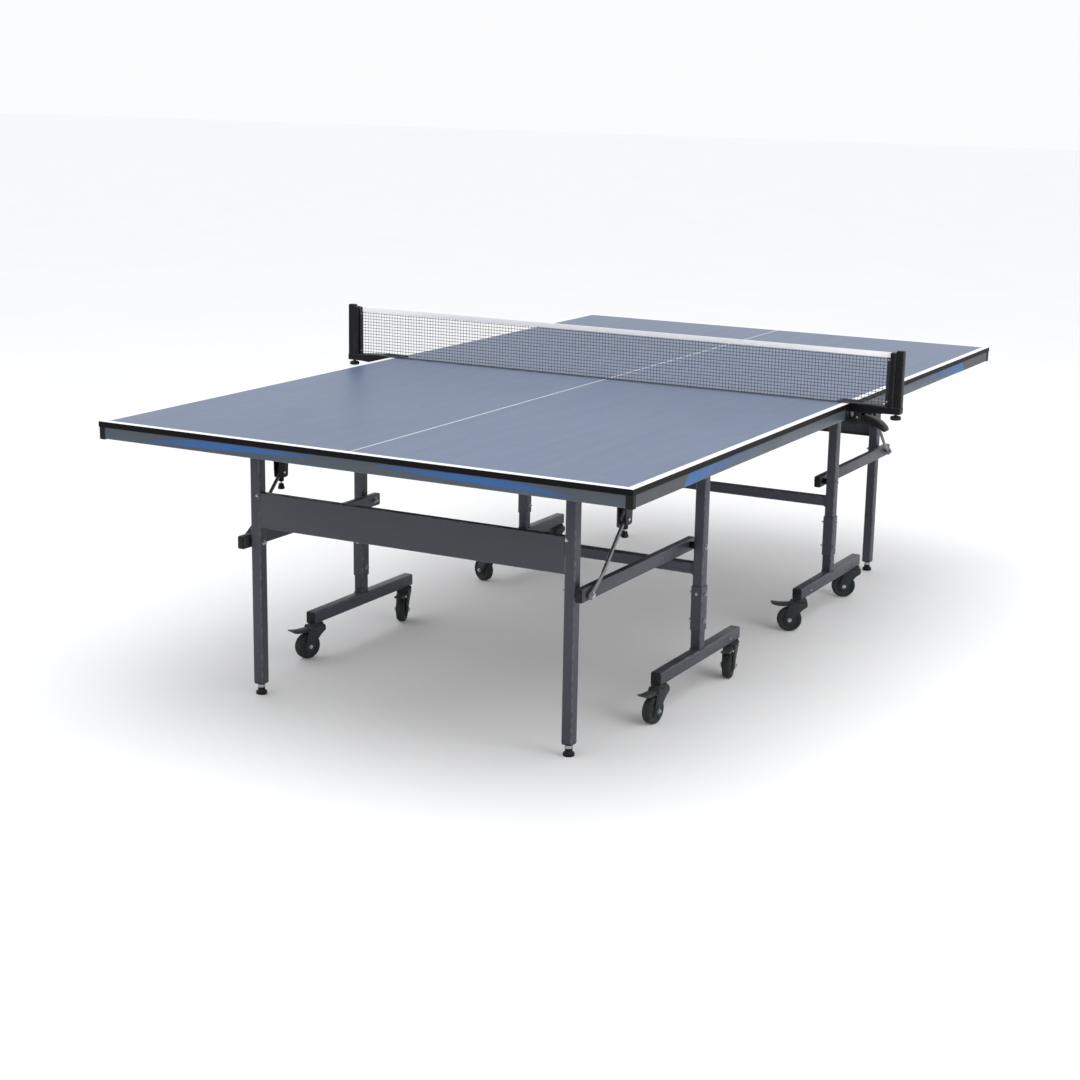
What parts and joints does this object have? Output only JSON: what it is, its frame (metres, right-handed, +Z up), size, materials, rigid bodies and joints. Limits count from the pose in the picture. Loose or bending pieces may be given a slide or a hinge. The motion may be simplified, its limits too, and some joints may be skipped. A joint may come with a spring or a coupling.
{
  "type": "ping pong table",
  "caption": "Folding, rolling table-tennis table in two halves on braked casters, with parallel-link folding legs and a clamp-on net.",
  "frame": {"origin": "on the floor under the middle of the net", "axes": "+Z up, +X along the table from the near half to the far half, +Y across it towards its left side"},
  "size_m": [2.74, 1.83, 0.9185],
  "materials": {
    "playing_surface": "satin blue coating",
    "apron_steel": "satin powder coat",
    "frame_steel": "satin powder coat",
    "rod_steel": "zinc plated",
    "caster_plastic": "matte",
    "tyre": "matte",
    "foot_plastic": "matte",
    "net_plastic": "matte",
    "net_cloth": "knotless mesh"
  },
  "bodies": {
    "near_trolley": {"near_cross_bar": "frame_steel", "near_foot_left": "frame_steel", "near_foot_right": "frame_steel"},
    "near_top": {"near_tabletop": "playing_surface", "near_apron": "apron_steel"},
    "near_legs": {"near_leg_left": "frame_steel", "near_leg_right": "frame_steel", "near_end_panel": "frame_steel"},
    "near_leveller_left": {"near_leveller_left": "foot_plastic"},
    "near_link_left": {"near_link_left": "frame_steel"},
    "near_rod_left": {"near_rod_left": "rod_steel"},
    "near_left_inner_fork": {"near_left_inner_fork": "caster_plastic"},
    "near_left_inner_wheel": {"near_left_inner_wheel": "tyre"},
    "near_left_inner_pedal": {"near_left_inner_pedal": "caster_plastic"},
    "near_left_outer_fork": {"near_left_outer_fork": "caster_plastic"},
    "near_left_outer_wheel": {"near_left_outer_wheel": "tyre"},
    "near_left_outer_pedal": {"near_left_outer_pedal": "caster_plastic"},
    "near_leveller_right": {"near_leveller_right": "foot_plastic"},
    "near_link_right": {"near_link_right": "frame_steel"},
    "near_rod_right": {"near_rod_right": "rod_steel"},
    "near_right_inner_fork": {"near_right_inner_fork": "caster_plastic"},
    "near_right_inner_wheel": {"near_right_inner_wheel": "tyre"},
    "near_right_inner_pedal": {"near_right_inner_pedal": "caster_plastic"},
    "near_right_outer_fork": {"near_right_outer_fork": "caster_plastic"},
    "near_right_outer_wheel": {"near_right_outer_wheel": "tyre"},
    "near_right_outer_pedal": {"near_right_outer_pedal": "caster_plastic"},
    "far_trolley": {"far_cross_bar": "frame_steel", "far_foot_left": "frame_steel", "far_foot_right": "frame_steel"},
    "far_top": {"far_tabletop": "playing_surface", "far_apron": "apron_steel", "net": "net_cloth", "net_clamp_left": "net_plastic", "net_clamp_right": "net_plastic"},
    "far_legs": {"far_leg_left": "frame_steel", "far_leg_right": "frame_steel", "far_end_panel": "frame_steel"},
    "far_leveller_left": {"far_leveller_left": "foot_plastic"},
    "far_link_left": {"far_link_left": "frame_steel"},
    "far_rod_left": {"far_rod_left": "rod_steel"},
    "far_left_inner_fork": {"far_left_inner_fork": "caster_plastic"},
    "far_left_inner_wheel": {"far_left_inner_wheel": "tyre"},
    "far_left_inner_pedal": {"far_left_inner_pedal": "caster_plastic"},
    "far_left_outer_fork": {"far_left_outer_fork": "caster_plastic"},
    "far_left_outer_wheel": {"far_left_outer_wheel": "tyre"},
    "far_left_outer_pedal": {"far_left_outer_pedal": "caster_plastic"},
    "far_leveller_right": {"far_leveller_right": "foot_plastic"},
    "far_link_right": {"far_link_right": "frame_steel"},
    "far_rod_right": {"far_rod_right": "rod_steel"},
    "far_right_inner_fork": {"far_right_inner_fork": "caster_plastic"},
    "far_right_inner_wheel": {"far_right_inner_wheel": "tyre"},
    "far_right_inner_pedal": {"far_right_inner_pedal": "caster_plastic"},
    "far_right_outer_fork": {"far_right_outer_fork": "caster_plastic"},
    "far_right_outer_wheel": {"far_right_outer_wheel": "tyre"},
    "far_right_outer_pedal": {"far_right_outer_pedal": "caster_plastic"},
    "net_lever_left": {"net_lever_left": "net_plastic"},
    "net_knob_left": {"net_knob_left": "net_plastic"},
    "net_lever_right": {"net_lever_right": "net_plastic"},
    "net_knob_right": {"net_knob_right": "net_plastic"}
  },
  "joints": [
    {"name": "near_tilt", "type": "hinge", "parent": "near_trolley", "child": "near_top", "pos_m": [-0.495, 0, 0.69], "axis": [0, 1, 0], "range_deg": [0, 90]},
    {"name": "near_legs_fold", "type": "hinge", "parent": "near_top", "child": "near_legs", "pos_m": [-1.09, 0, 0.69], "axis": [0, 1, 0], "range_deg": [-90, 0]},
    {"name": "near_link_left_swing", "type": "hinge", "parent": "near_trolley", "child": "near_link_left", "pos_m": [-0.495, 0.505, 0.422], "axis": [0, 1, 0], "range_deg": [0, 90]},
    {"name": "near_rod_left_swing", "type": "hinge", "parent": "near_link_left", "child": "near_rod_left", "pos_m": [-1.09, 0.523, 0.42], "axis": [0, 1, 0], "range_deg": [-162, 0]},
    {"name": "near_leveller_left_screw", "type": "slide", "parent": "near_legs", "child": "near_leveller_left", "axis": [0, 0, -1], "range_m": [0, 0.015]},
    {"name": "near_left_inner_swivel", "type": "hinge", "parent": "near_trolley", "child": "near_left_inner_fork", "pos_m": [-0.26, 0.545, 0.1], "axis": [0, 0, 1], "continuous": true},
    {"name": "near_left_inner_roll", "type": "hinge", "parent": "near_left_inner_fork", "child": "near_left_inner_wheel", "pos_m": [-0.28631, 0.53542, 0.0375], "axis": [-0.342, 0.9397, 0], "continuous": true},
    {"name": "near_left_inner_brake", "type": "hinge", "parent": "near_left_inner_fork", "child": "near_left_inner_pedal", "pos_m": [-0.27691, 0.53884, 0.086], "axis": [0.342, -0.9397, 0], "range_deg": [0, 8], "stiffness_Nm_per_rad": 0.4},
    {"name": "near_left_outer_swivel", "type": "hinge", "parent": "near_trolley", "child": "near_left_outer_fork", "pos_m": [-0.73, 0.545, 0.1], "axis": [0, 0, 1], "continuous": true},
    {"name": "near_left_outer_roll", "type": "hinge", "parent": "near_left_outer_fork", "child": "near_left_outer_wheel", "pos_m": [-0.75577, 0.55594, 0.0375], "axis": [0.3907, 0.9205, 0], "continuous": true},
    {"name": "near_left_outer_brake", "type": "hinge", "parent": "near_left_outer_fork", "child": "near_left_outer_pedal", "pos_m": [-0.74657, 0.55203, 0.086], "axis": [-0.3907, -0.9205, 0], "range_deg": [0, 8], "stiffness_Nm_per_rad": 0.4},
    {"name": "near_link_right_swing", "type": "hinge", "parent": "near_trolley", "child": "near_link_right", "pos_m": [-0.495, -0.505, 0.422], "axis": [0, 1, 0], "range_deg": [0, 90]},
    {"name": "near_rod_right_swing", "type": "hinge", "parent": "near_link_right", "child": "near_rod_right", "pos_m": [-1.09, -0.523, 0.42], "axis": [0, 1, 0], "range_deg": [-162, 0]},
    {"name": "near_leveller_right_screw", "type": "slide", "parent": "near_legs", "child": "near_leveller_right", "axis": [0, 0, -1], "range_m": [0, 0.015]},
    {"name": "near_right_inner_swivel", "type": "hinge", "parent": "near_trolley", "child": "near_right_inner_fork", "pos_m": [-0.26, -0.545, 0.1], "axis": [0, 0, 1], "continuous": true},
    {"name": "near_right_inner_roll", "type": "hinge", "parent": "near_right_inner_fork", "child": "near_right_inner_wheel", "pos_m": [-0.28739, -0.55082, 0.0375], "axis": [-0.2079, 0.9781, 0], "continuous": true},
    {"name": "near_right_inner_brake", "type": "hinge", "parent": "near_right_inner_fork", "child": "near_right_inner_pedal", "pos_m": [-0.27761, -0.54874, 0.086], "axis": [0.2079, -0.9781, 0], "range_deg": [0, 8], "stiffness_Nm_per_rad": 0.4},
    {"name": "near_right_outer_swivel", "type": "hinge", "parent": "near_trolley", "child": "near_right_outer_fork", "pos_m": [-0.73, -0.545, 0.1], "axis": [0, 0, 1], "continuous": true},
    {"name": "near_right_outer_roll", "type": "hinge", "parent": "near_right_outer_fork", "child": "near_right_outer_wheel", "pos_m": [-0.75773, -0.5411, 0.0375], "axis": [0.1392, 0.9903, 0], "continuous": true},
    {"name": "near_right_outer_brake", "type": "hinge", "parent": "near_right_outer_fork", "child": "near_right_outer_pedal", "pos_m": [-0.74782, -0.54249, 0.086], "axis": [-0.1392, -0.9903, 0], "range_deg": [0, 8], "stiffness_Nm_per_rad": 0.4},
    {"name": "far_tilt", "type": "hinge", "parent": "far_trolley", "child": "far_top", "pos_m": [0.495, 0, 0.69], "axis": [0, -1, 0], "range_deg": [0, 90], "deforming": ["net"]},
    {"name": "far_legs_fold", "type": "hinge", "parent": "far_top", "child": "far_legs", "pos_m": [1.09, 0, 0.69], "axis": [0, -1, 0], "range_deg": [-90, 0]},
    {"name": "far_link_left_swing", "type": "hinge", "parent": "far_trolley", "child": "far_link_left", "pos_m": [0.495, 0.505, 0.422], "axis": [0, -1, 0], "range_deg": [0, 90]},
    {"name": "far_rod_left_swing", "type": "hinge", "parent": "far_link_left", "child": "far_rod_left", "pos_m": [1.09, 0.523, 0.42], "axis": [0, -1, 0], "range_deg": [-162, 0]},
    {"name": "far_leveller_left_screw", "type": "slide", "parent": "far_legs", "child": "far_leveller_left", "axis": [0, 0, -1], "range_m": [0, 0.015]},
    {"name": "far_left_inner_swivel", "type": "hinge", "parent": "far_trolley", "child": "far_left_inner_fork", "pos_m": [0.26, 0.545, 0.1], "axis": [0, 0, 1], "continuous": true},
    {"name": "far_left_inner_roll", "type": "hinge", "parent": "far_left_inner_fork", "child": "far_left_inner_wheel", "pos_m": [0.26958, 0.57131, 0.0375], "axis": [0.9397, -0.342, 0], "continuous": true},
    {"name": "far_left_inner_brake", "type": "hinge", "parent": "far_left_inner_fork", "child": "far_left_inner_pedal", "pos_m": [0.26616, 0.56191, 0.086], "axis": [-0.9397, 0.342, 0], "range_deg": [0, 8], "stiffness_Nm_per_rad": 0.4},
    {"name": "far_left_outer_swivel", "type": "hinge", "parent": "far_trolley", "child": "far_left_outer_fork", "pos_m": [0.73, 0.545, 0.1], "axis": [0, 0, 1], "continuous": true},
    {"name": "far_left_outer_roll", "type": "hinge", "parent": "far_left_outer_fork", "child": "far_left_outer_wheel", "pos_m": [0.70242, 0.54986, 0.0375], "axis": [0.1736, 0.9848, 0], "continuous": true},
    {"name": "far_left_outer_brake", "type": "hinge", "parent": "far_left_outer_fork", "child": "far_left_outer_pedal", "pos_m": [0.71227, 0.54813, 0.086], "axis": [-0.1736, -0.9848, 0], "range_deg": [0, 8], "stiffness_Nm_per_rad": 0.4},
    {"name": "far_link_right_swing", "type": "hinge", "parent": "far_trolley", "child": "far_link_right", "pos_m": [0.495, -0.505, 0.422], "axis": [0, -1, 0], "range_deg": [0, 90]},
    {"name": "far_rod_right_swing", "type": "hinge", "parent": "far_link_right", "child": "far_rod_right", "pos_m": [1.09, -0.523, 0.42], "axis": [0, -1, 0], "range_deg": [-162, 0]},
    {"name": "far_leveller_right_screw", "type": "slide", "parent": "far_legs", "child": "far_leveller_right", "axis": [0, 0, -1], "range_m": [0, 0.015]},
    {"name": "far_right_inner_swivel", "type": "hinge", "parent": "far_trolley", "child": "far_right_inner_fork", "pos_m": [0.26, -0.545, 0.1], "axis": [0, 0, 1], "continuous": true},
    {"name": "far_right_inner_roll", "type": "hinge", "parent": "far_right_inner_fork", "child": "far_right_inner_wheel", "pos_m": [0.24817, -0.51962, 0.0375], "axis": [0.9063, 0.4226, 0], "continuous": true},
    {"name": "far_right_inner_brake", "type": "hinge", "parent": "far_right_inner_fork", "child": "far_right_inner_pedal", "pos_m": [0.25239, -0.52869, 0.086], "axis": [-0.9063, -0.4226, 0], "range_deg": [0, 8], "stiffness_Nm_per_rad": 0.4},
    {"name": "far_right_outer_swivel", "type": "hinge", "parent": "far_trolley", "child": "far_right_outer_fork", "pos_m": [0.73, -0.545, 0.1], "axis": [0, 0, 1], "continuous": true},
    {"name": "far_right_outer_roll", "type": "hinge", "parent": "far_right_outer_fork", "child": "far_right_outer_wheel", "pos_m": [0.71686, -0.52028, 0.0375], "axis": [0.8829, 0.4695, 0], "continuous": true},
    {"name": "far_right_outer_brake", "type": "hinge", "parent": "far_right_outer_fork", "child": "far_right_outer_pedal", "pos_m": [0.72155, -0.52911, 0.086], "axis": [-0.8829, -0.4695, 0], "range_deg": [0, 8], "stiffness_Nm_per_rad": 0.4},
    {"name": "halves_part", "type": "slide", "parent": "near_trolley", "child": "far_trolley", "axis": [1, 0, 0], "range_m": [0, 0.6]},
    {"name": "net_lever_left_squeeze", "type": "hinge", "parent": "far_top", "child": "net_lever_left", "pos_m": [0.0245, 0.786, 0.722], "axis": [1, 0, 0], "range_deg": [0, 15], "stiffness_Nm_per_rad": 3},
    {"name": "net_knob_left_turn", "type": "hinge", "parent": "far_top", "child": "net_knob_left", "pos_m": [0, 0.899, 0.725], "axis": [0, 0, 1], "continuous": true},
    {"name": "net_lever_right_squeeze", "type": "hinge", "parent": "far_top", "child": "net_lever_right", "pos_m": [0.0245, -0.786, 0.722], "axis": [-1, 0, 0], "range_deg": [0, 15], "stiffness_Nm_per_rad": 3},
    {"name": "net_knob_right_turn", "type": "hinge", "parent": "far_top", "child": "net_knob_right", "pos_m": [0, -0.899, 0.725], "axis": [0, 0, 1], "continuous": true}
  ],
  "couplings": [
    {"joint": "near_legs_fold", "follows": "near_tilt", "ratio": -1},
    {"joint": "near_link_left_swing", "follows": "near_tilt", "ratio": 1},
    {"joint": "near_rod_left_swing", "follows": "near_tilt", "ratio": -1.8},
    {"joint": "near_link_right_swing", "follows": "near_tilt", "ratio": 1},
    {"joint": "near_rod_right_swing", "follows": "near_tilt", "ratio": -1.8},
    {"joint": "far_legs_fold", "follows": "far_tilt", "ratio": -1},
    {"joint": "far_link_left_swing", "follows": "far_tilt", "ratio": 1},
    {"joint": "far_rod_left_swing", "follows": "far_tilt", "ratio": -1.8},
    {"joint": "far_link_right_swing", "follows": "far_tilt", "ratio": 1},
    {"joint": "far_rod_right_swing", "follows": "far_tilt", "ratio": -1.8}
  ]
}
